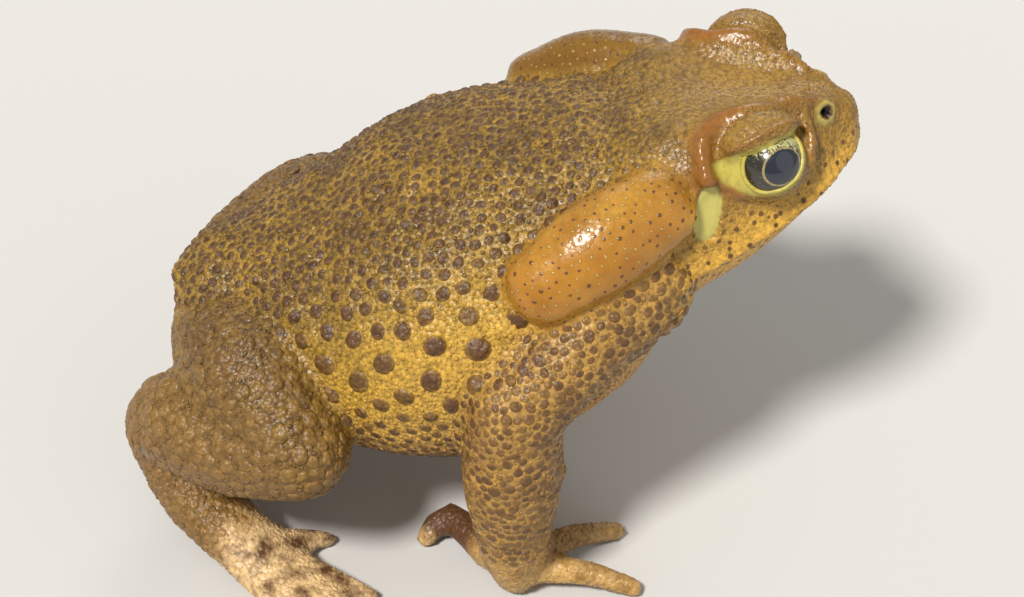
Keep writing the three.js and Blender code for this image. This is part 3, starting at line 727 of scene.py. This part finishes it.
def makeEyeMaterial():
    material, tree, shader = newMaterial("toadEye")
    color = eyeColors
    where = addNode(tree, "ShaderNodeUVMap", uv_map="eyeMap").outputs["UV"]
    split = addNode(tree, "ShaderNodeSeparateXYZ", {"Vector": where})
    u = maths(tree, "MULTIPLY_ADD", split.outputs["X"], 2.0, -1.0)
    v = maths(tree, "MULTIPLY_ADD", split.outputs["Y"], 2.0, -1.0)
    across = maths(tree, "POWER", maths(tree, "DIVIDE", u, eyeLook["pupil"][0]), 2.0)
    high = maths(tree, "POWER", maths(tree, "DIVIDE", v, eyeLook["pupil"][1]), 2.0)
    oval = maths(tree, "SQRT", maths(tree, "ADD", across, high))   # 1 on the pupil's edge
    flecks = noise(tree, where, 26, 6, Roughness=0.72, Distortion=1.2)
    above = maths(tree, "ADD", maths(tree, "MULTIPLY", u, 0.55), maths(tree, "MULTIPLY", v, 0.84))
    above = between(tree, above, 0.15, 0.7)
    level = maths(tree, "SUBTRACT", 0.64, maths(tree, "MULTIPLY", above, 0.22))
    gold = maths(tree, "MULTIPLY", maths(tree, "GREATER_THAN", flecks, level), 0.9)
    iris = mixColor(tree, gold, color["iris"], color["gold"])
    ring = between(tree, maths(tree, "ABSOLUTE", maths(tree, "SUBTRACT", oval, 1.06)), 0.07, 0.03)
    ring = maths(tree, "MULTIPLY", ring, between(tree, flecks, 0.35, 0.55))
    iris = mixColor(tree, ring, iris, color["rim"])
    whole = mixColor(tree, between(tree, oval, 0.97, 1.01), color["pupil"], iris)
    edge = maths(tree, "SQRT", maths(tree, "ADD", maths(tree, "POWER", u, 2.0), maths(tree, "POWER", v, 2.0)))
    whole = mixColor(tree, between(tree, edge, 0.93, 0.99), whole, color["white"])
    setInput(tree, shader.inputs["Base Color"], whole)
    shader.inputs["Roughness"].default_value = 0.22
    shader.inputs["Coat Weight"].default_value = 1.0
    shader.inputs["Coat Roughness"].default_value = 0.02
    return material


def makeEye(name, side, material):
    middle, axis, across, up = eyeAxes(side, "gaze")   # the iris looks a little lower than the opening does
    around, rows = eyeLook["parts"]
    bm = bmesh.new()
    bmesh.ops.create_uvsphere(bm, u_segments=around, v_segments=rows, radius=1)
    mesh = bpy.data.meshes.new("eye")
    bm.to_mesh(mesh)
    bm.free()
    unit = meshArray(mesh)
    layer = mesh.uv_layers.new(name="eyeMap")
    corner = meshArray(mesh, "loops", "vertex_index", 1, np.int32)
    layer.data.foreach_set("uv", (0.5 + 0.5 * unit[corner][:, :2]).ravel())
    bulge = 1 + eyeLook["bulge"] * ramp(unit[:, 2], 0.55, 0.95)
    turned = unit @ np.array([across, up, axis]) * (eyePlan["radius"] * bulge)[:, None] + middle
    mesh.vertices.foreach_set("co", toPacked(turned).ravel())
    for poly in mesh.polygons:
        poly.use_smooth = True
    if side > 0:
        mesh.flip_normals()
    mesh.update()
    piece = newPiece(name, mesh, material)
    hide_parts(name.replace("ball", "eye"))
    return piece


rimPlan = {"wide": 0.38, "thick": 0.34, "over": 0.16,   # mm; over is how high its middle lies on the ball
           "rounds": 72, "sides": 10}


def makeLidRim(name, side):
    # a soft roll along the edge of the lids, lying on the ball
    rounds, sides = rimPlan["rounds"], rimPlan["sides"]
    angles = np.linspace(-180, 180, rounds, endpoint=False)
    outs = openingAt(angles)
    for _ in range(3):
        outs = (np.roll(outs, 1) + outs * 2 + np.roll(outs, -1)) / 4
    facing = edgeFacing(angles, outs, side)
    line = eyeAxes(side)[0] + facing * (eyePlan["radius"] + rimPlan["over"])
    bm = bmesh.new()
    rings = []
    for i in range(rounds):
        onward = line[(i + 1) % rounds] - line[i - 1]
        onward = onward / np.linalg.norm(onward)
        aside = np.cross(onward, facing[i])
        ring = bmesh.ops.create_circle(bm, segments=sides, radius=1)["verts"]
        for k, vert in enumerate(ring):
            turn = 2 * math.pi * k / sides
            place = line[i] + rimPlan["wide"] * math.cos(turn) * aside + rimPlan["thick"] * math.sin(turn) * facing[i]
            vert.co = toPacked(place)
        rings.append([bm.edges.get((ring[k], ring[(k + 1) % sides])) for k in range(sides)])
    for i in range(rounds):
        bmesh.ops.bridge_loops(bm, edges=rings[i] + rings[(i + 1) % rounds])
    bmesh.ops.recalc_face_normals(bm, faces=bm.faces)
    for face in bm.faces:
        face.smooth = True
    mesh = bpy.data.meshes.new(name)
    bm.to_mesh(mesh)
    bm.free()
    zones = {z: np.zeros(len(mesh.vertices)) for z in zoneNames}
    zones["lid"] += 1
    writeZones(mesh, zones)
    newPiece(name, mesh, toadSkin)


toadEye = makeEyeMaterial()
for word, side in (("right", -1), ("left", 1)):
    makeEye("ball_" + word, side, toadEye)
    makeLidRim("lid_rim_" + word, side)
print("eyes")

# warts and granules, each a small closed dome sunk in the skin; room is how much of their radii lies between two
wartPlan = {
    "seed": 12,
    "tries": 330000,
    "flank": {"radius": (0.76, 2.2), "room": 1.06},
    "limb": {"radius": (0.68, 1.2), "room": 0.86},
    "granule": {"radius": (0.27, 0.56), "room": 0.92},
    "pore": {"radius": (0.26, 0.44), "room": 2.0},
    "keepOff": {"room": 0.93, "reach": 2.3},   # the small ones from the large
}
nextCells = [(dx, dy, dz) for dx in (-1, 0, 1) for dy in (-1, 0, 1) for dz in (-1, 0, 1)]
dice = np.random.default_rng(wartPlan["seed"])


def scatter(tries):
    # even random places over the skin, with the face's normal and the zones there
    skinMesh.calc_loop_triangles()
    corners = meshArray(skinMesh, "loop_triangles", "vertices", 3, np.int32)
    a, b, c = [skinPoints[corners[:, k]] for k in range(3)]
    area = np.linalg.norm(np.cross(b - a, c - a), axis=1) / 2
    pick = np.searchsorted(np.cumsum(area), dice.random(tries) * area.sum())
    u, v = dice.random(tries), dice.random(tries)
    flip = u + v > 1
    u[flip], v[flip] = 1 - u[flip], 1 - v[flip]
    w = np.stack([1 - u - v, u, v], axis=1)
    corner = corners[pick]

    def blend(data):
        return (data[corner] * (w[:, :, None] if data.ndim > 1 else w)).sum(axis=1)

    normals = blend(skinNormals)
    normals /= np.linalg.norm(normals, axis=1)[:, None]
    zones = {name: blend(skinZones[name]) for name in zoneNames}
    return {"points": blend(skinPoints), "normals": normals, "zones": zones, "height": blend(skinHeight),
            "names": skinNode[corner[:, 0]]}


def pickPlaces(places, chosen):
    picked = {key: places[key][chosen] for key in ("points", "normals", "names")}
    picked["zones"] = {z: places["zones"][z][chosen] for z in zoneNames}
    return picked


def settle(points, radii, room, cell, tooNear=None):
    # keeps a place where no earlier one is nearer than the two radii together
    grid, kept = {}, []
    spots = points.tolist()

    def isClear(p, r, key):
        for dx, dy, dz in nextCells:
            for j in grid.get((key[0] + dx, key[1] + dy, key[2] + dz), ()):
                q, gap = spots[j], (r + radii[j]) * room
                if (p[0] - q[0]) ** 2 + (p[1] - q[1]) ** 2 + (p[2] - q[2]) ** 2 < gap * gap:
                    return False
        return True

    for i, p in enumerate(spots):
        r = radii[i]
        if r <= 0 or tooNear and tooNear(p, r):
            continue
        key = (int(p[0] // cell), int(p[1] // cell), int(p[2] // cell))
        if isClear(p, r, key):
            grid.setdefault(key, []).append(i)
            kept.append(i)
    return np.array(kept, int)


def keepOff(points, radii):
    # a test whether a smaller dome stands too near one of these
    plan, tree = wartPlan["keepOff"], KDTree(len(points))
    for i, p in enumerate(points):
        tree.insert(p, i)
    tree.balance()

    def tooNear(p, r):
        return any(away < (radii[i] + r) * plan["room"] for _, i, away in tree.find_range(p, plan["reach"] + r))

    return tooNear


def domeShape(around, rows, rough=0):
    # a low dome on a flat foot; rough is the seed of an uneven top, and 0 leaves it even
    bm = bmesh.new()
    bmesh.ops.create_uvsphere(bm, u_segments=around, v_segments=rows, radius=1)
    low = [v for v in bm.verts if v.co.z < -0.01]
    bottom = min(bm.verts, key=lambda v: v.co.z)
    bmesh.ops.delete(bm, geom=[v for v in low if v is not bottom], context="VERTS")
    bmesh.ops.delete(bm, geom=[v for v in bm.verts if not v.link_faces], context="VERTS")
    bmesh.ops.contextual_create(bm, geom=[e for e in bm.edges if e.is_boundary])
    for vert in bm.verts:
        vert.co.z *= 0.5
    shape = random.Random(around * 10 + rough)
    for vert in bm.verts:
        if rough and vert.co.z > 0.2:
            vert.co.z += 0.16 * shape.choice((-1, 1)) * shape.random()
    bmesh.ops.triangulate(bm, faces=bm.faces)
    bm.normal_update()
    mesh = bpy.data.meshes.new("dome")
    bm.to_mesh(mesh)
    bm.free()
    mesh.calc_loop_triangles()
    points = meshArray(mesh)
    faces = meshArray(mesh, "loop_triangles", "vertices", 3, np.int32)
    bpy.data.meshes.remove(mesh)
    return points, faces


limbGroups = {"right": ("upper_arm_right", "forearm_right", "hand_right"),
              "left": ("upper_arm_left", "forearm_left", "hand_left"),
              "rightLeg": ("thigh_right", "shank_right", "tarsus_right", "foot_right"),
              "leftLeg": ("thigh_left", "shank_left", "tarsus_left", "foot_left")}


def patchPlaces(points, normals, names):
    # a flat place for each foot on a boxed unwrap of the skin, with one tile for each limb and facing
    group = np.zeros(len(points), int)
    for k, members in enumerate(limbGroups.values()):
        group[np.isin(names, members)] = k + 1
    side = np.argmax(np.abs(normals), axis=1)
    facing = side * 2 + (normals[np.arange(len(points)), side] > 0)
    across = np.where(side == 0, 1, 0)
    upward = np.where(side == 2, 1, 2)
    rows = np.arange(len(points))
    u = (points[rows, across] + 70) / 140
    v = (points[rows, upward] + 70) / 160
    return np.stack([(facing + 0.04 + 0.92 * u) / 6, (group + 0.04 + 0.92 * v) / 5], axis=1)


domePlan = {   # shares of a dome's radius
    "wider": 0.16, "shorter": 0.12, "high": (0.8, 0.4), "sunk": 0.12,
    "patch": 0.0015,   # size of its patch on the UV map
}


def joinDomes(name, shapes, picked, radii, wart, rise, pale=0):
    # one joined mesh of many domes, each turned to its own normal; pale is how light the heads of pores are
    points, normals, zones = picked["points"], picked["normals"], picked["zones"]
    vertices, faces, maps, shades = [], [], [], []
    start = 0
    turnDice = np.random.default_rng(len(points))
    kind = turnDice.integers(0, len(shapes), len(points))
    places = patchPlaces(points, normals, picked["names"])
    for k, (dome, corners) in enumerate(shapes):
        mine = np.nonzero(kind == k)[0]
        if not len(mine):
            continue
        n = normals[mine]
        helper = np.where(np.abs(n[:, 2:3]) < 0.9, np.array([[0, 0, 1.0]]), np.array([[1.0, 0, 0]]))
        t = np.cross(helper, n)
        t /= np.linalg.norm(t, axis=1)[:, None]
        b = np.cross(n, t)
        turn = (turnDice.random(len(mine)) * 2 * np.pi)[:, None]
        t, b = t * np.cos(turn) + b * np.sin(turn), b * np.cos(turn) - t * np.sin(turn)
        wide = radii[mine] * (1 + domePlan["wider"] * turnDice.random(len(mine)))
        long = radii[mine] * (1 - domePlan["shorter"] * turnDice.random(len(mine)))
        low, more = domePlan["high"]
        high = radii[mine] * np.broadcast_to(rise, len(radii))[mine] * (low + more * turnDice.random(len(mine)))
        made = (points[mine] - n * (domePlan["sunk"] * radii[mine])[:, None])[:, None, :]
        for axis, way, size in ((0, t, wide), (1, b, long), (2, n, high)):
            made = made + dome[None, :, axis:axis + 1] * (way * size[:, None])[:, None, :]
        vertices.append(made.reshape(-1, 3))
        faces.append((corners[None] + (start + np.arange(len(mine)) * len(dome))[:, None, None]).reshape(-1, 3))
        start += made.shape[0] * len(dome)
        flat = places[mine][:, None, :] + dome[None, :, :2] * domePlan["patch"]
        maps.append(flat[:, corners].reshape(-1, 2))
        tall = np.clip(dome[:, 2] / 0.5, 0, 1)
        data = np.stack([np.repeat(zones[z][mine], len(dome)) for z in zoneNames], axis=1)
        data[:, zoneNames.index("wart")] = (wart[mine][:, None] * ramp(tall, -0.1, 0.7)[None, :]).ravel()
        if pale:
            top = np.outer(wart[mine] > 0.5, ramp(tall, 0.45, 0.9)).ravel()
            data[:, zoneNames.index("wart")] = 0.9 * (1 - top)
            data[:, zoneNames.index("drum")] = pale * top
        shades.append(data)
    mesh = bpy.data.meshes.new(name)
    vertices, faces = np.concatenate(vertices), np.concatenate(faces)
    mesh.vertices.add(len(vertices))
    mesh.loops.add(len(faces) * 3)
    mesh.polygons.add(len(faces))
    placed = toPacked(vertices)
    placed[:, 2] = np.clip(placed[:, 2], 0, cadHigh.z)   # none stands over the solids' box
    mesh.vertices.foreach_set("co", placed.ravel())
    mesh.loops.foreach_set("vertex_index", faces.ravel().astype(np.int32))
    mesh.polygons.foreach_set("loop_start", np.arange(0, len(faces) * 3, 3, dtype=np.int32))
    mesh.polygons.foreach_set("use_smooth", np.ones(len(faces), bool))
    mesh.update()
    mesh.validate()
    layer = mesh.uv_layers.new(name="OFBake")
    layer.data.foreach_set("uv", np.concatenate(maps).ravel())
    shade = np.concatenate(shades)
    writeZones(mesh, {z: shade[:, k] for k, z in enumerate(zoneNames)})
    newPiece(name, mesh, toadSkin)
    print(name, len(points), "domes", len(faces), "triangles")


def sized(pair, share):
    # a radius between the smallest and the largest
    return pair[0] + (pair[1] - pair[0]) * share


def makeFlankWarts(places, chance, trunk):
    # widest at mid flank, smaller and closer up the back, none on the belly
    plan, height, along = wartPlan["flank"], places["height"], places["points"][:, 0]
    swell = bell(height - 0.32, 0.42) * ramp(along, -50, -28)
    radii = np.where(trunk & (height > -0.75), sized(plan["radius"], np.maximum(swell, 0.12) * chance ** 1.5), 0)
    radii *= 1 - 0.3 * ramp(along, 4, 22)
    radii[(height > -0.5) & (height < 0.78) & (chance < 0.5 * (1 + swell))] = 0
    roomy = radii * (plan["room"] + 0.4 * swell)
    order = np.nonzero(radii > 0)[0][np.argsort(-radii[radii > 0])]
    big = order[settle(places["points"][order], roomy[order], 1, 6.4)]
    wart = (0.8 + 0.2 * dice.random(len(big))) * (1 - 0.45 * ramp(along[big], 8, 22))
    rough = [domeShape(11, 8, n) for n in (1, 2, 3, 4)]
    joinDomes("flank_warts", rough, pickPlaces(places, big), radii[big], wart, 0.8)
    return big, radii


def makeLimbWarts(places, chance, onLimb, tooNear):
    plan, points = wartPlan["limb"], places["points"]
    hind = ramp(points[:, 0], -8, -24)
    radii = np.where(onLimb, sized(plan["radius"], chance) * (1 + 0.45 * hind * ramp(points[:, 2], 12, 24)), 0)
    order = np.nonzero(radii > 0)[0]
    close = order[settle(points[order], radii[order], plan["room"], 3.5, tooNear)]
    picked = pickPlaces(places, close)
    picked["zones"]["limb"] *= 1 - 0.25 * hind[close]
    wart = (0.5 + 0.45 * dice.random(len(close))) * (1 - 0.55 * hind[close])
    joinDomes("limb_warts", [domeShape(9, 6)], picked, radii[close], wart, 0.66)
    return close, radii


def makeGranules(places, chance, bare, inHead, tooNear):
    # fine ones everywhere between the warts
    plan, points, zones, height = wartPlan["granule"], places["points"], places["zones"], places["height"]
    radii = sized(plan["radius"], chance)
    radii *= 1 - 0.25 * inHead
    radii[bare | (zones["digit"] > 0.45) & (chance > 0.12)] = 0
    radii[(height < -0.8) & (inHead < 0.5) & (zones["limb"] < 0.5) & (chance > 0.5)] = 0
    radii[(zones["brow"] > 0.5) | (zones["wart"] > 0.1)] = 0
    order = np.nonzero(radii > 0)[0]
    fine = order[settle(points[order], radii[order], plan["room"], 1.1, tooNear)]
    tone = 0.25 + 0.6 * dice.random(len(fine))
    side = ramp(height[fine], 0.95, 0.55) * (zones["limb"][fine] < 0.5)
    tone *= 1 - 0.75 * np.maximum(zones["belly"][fine], side)
    tone *= 1 - 0.6 * inHead[fine] * (1 - 0.9 * zones["lip"][fine])
    part = np.digitize(points[fine][:, 0], (-18, 16))
    for k, name in enumerate(("granules_rear", "granules_middle", "granules_front")):
        mine = fine[part == k]
        rise = 1.25 - 0.5 * inHead[mine]
        joinDomes(name, [domeShape(6, 4)], pickPlaces(places, mine), radii[mine], tone[part == k], rise)


def makePores(places, chance):
    # a pale bead in a dark ring
    plan, points = wartPlan["pore"], places["points"]
    radii = np.where(places["zones"]["gland"] > 0.5, sized(plan["radius"], chance), 0)
    order = np.nonzero(radii > 0)[0]
    pores = order[settle(points[order], radii[order], plan["room"], 2.6)]
    wart = dice.random(len(pores))
    joinDomes("gland_pores", [domeShape(8, 6)], pickPlaces(places, pores), radii[pores], wart, 0.5, 0.45)


def makeWarts():
    places = scatter(wartPlan["tries"])
    points, zones = places["points"], places["zones"]
    chance = dice.random(len(points))
    bare = (zones["gland"] > 0.4) | (zones["lid"] > 0.35) | (zones["drum"] > 0.15) | (points[:, 2] < 1.2)
    inHead = ramp(points[:, 0], 19, 25)
    trunk = (zones["limb"] < 0.5) & (zones["digit"] < 0.5) & (inHead < 0.5) & ~bare
    big, radii = makeFlankWarts(places, chance, trunk)
    onLimb = (zones["limb"] >= 0.5) & ~bare & (zones["digit"] < 0.4)
    close, limbRadii = makeLimbWarts(places, chance, onLimb, keepOff(points[big], radii[big]))
    both = np.concatenate([big, close])
    bothRadii = np.where(radii[both] > 0, radii[both], limbRadii[both])
    makeGranules(places, chance, bare, inHead, keepOff(points[both], bothRadii))
    makePores(places, chance)


makeWarts()

bpy.context.scene.view_settings.view_transform = "Standard"
cameraPlan = {"target": (0, 0, 36), "distance": 353, "elevation": 42,   # mm in the toad's frame, and degrees
              "focus": 2000, "width": 1024, "sensor": 36}               # focus in the picture's own pixels


def makeCamera():
    data = bpy.data.cameras.new("camera")
    camera = bpy.data.objects.new("camera", data)
    bpy.context.scene.collection.objects.link(camera)
    tilt = math.radians(cameraPlan["elevation"])
    back = Vector((0, -math.cos(tilt), math.sin(tilt)))
    camera.location = Vector(cameraPlan["target"]) * mm + shift + back * cameraPlan["distance"] * mm
    camera.rotation_euler = (-back).to_track_quat("-Z", "Y").to_euler()
    data.sensor_width = cameraPlan["sensor"]
    data.lens = cameraPlan["focus"] * cameraPlan["sensor"] / cameraPlan["width"]
    data.clip_start, data.clip_end = 0.01, 10
    bpy.context.scene.camera = camera


floorPlan = {"size": 6, "color": (0.5, 0.495, 0.48), "roughness": 0.9}   # m


def makeFloor():
    bm = bmesh.new()
    bmesh.ops.create_grid(bm, x_segments=4, y_segments=4, size=floorPlan["size"])
    mesh = bpy.data.meshes.new("floor")
    bm.to_mesh(mesh)
    bm.free()
    floor = bpy.data.objects.new("floor", mesh)
    bpy.context.scene.collection.objects.link(floor)
    paper, tree, shader = newMaterial("paper")
    setInput(tree, shader.inputs["Base Color"], floorPlan["color"])
    setInput(tree, shader.inputs["Roughness"], floorPlan["roughness"])
    mesh.materials.append(paper)


worldPlan = {"color": (0.93, 0.91, 0.87), "strength": 0.42}
lights = [   # places in m; one with a spread, in degrees, shines like the sun, and a size is a disk's width
    {"name": "key", "at": (-0.8, -1.0, 1.9), "spread": 11, "power": 4.2, "color": (1, 0.97, 0.93)},
    {"name": "fill", "at": (1.6, -1.2, 1.1), "size": 2.6, "power": 7, "color": (1, 0.98, 0.95)},
    {"name": "rim", "at": (0.2, 1.6, 1.2), "size": 1.0, "power": 9, "color": (1, 1, 1)},
]


def makeLights():
    for plan in lights:
        data = bpy.data.lights.new(plan["name"], "SUN" if "spread" in plan else "AREA")
        if "spread" in plan:
            data.angle = math.radians(plan["spread"])   # broad, so its shadows are soft
        else:
            data.shape = "DISK"
            data.size = plan["size"]
        data.energy = plan["power"]
        data.color = plan["color"]
        lamp = bpy.data.objects.new(plan["name"], data)
        bpy.context.scene.collection.objects.link(lamp)
        lamp.location = plan["at"]
        lamp.rotation_euler = (Vector((0, 0, 0.03)) - lamp.location).to_track_quat("-Z", "Y").to_euler()
    world = bpy.data.worlds.new("studio")
    bpy.context.scene.world = world
    world.use_nodes = True
    backdrop = world.node_tree.nodes["Background"].inputs
    setInput(world.node_tree, backdrop["Color"], worldPlan["color"])
    setInput(world.node_tree, backdrop["Strength"], worldPlan["strength"])


makeCamera()
makeFloor()
makeLights()
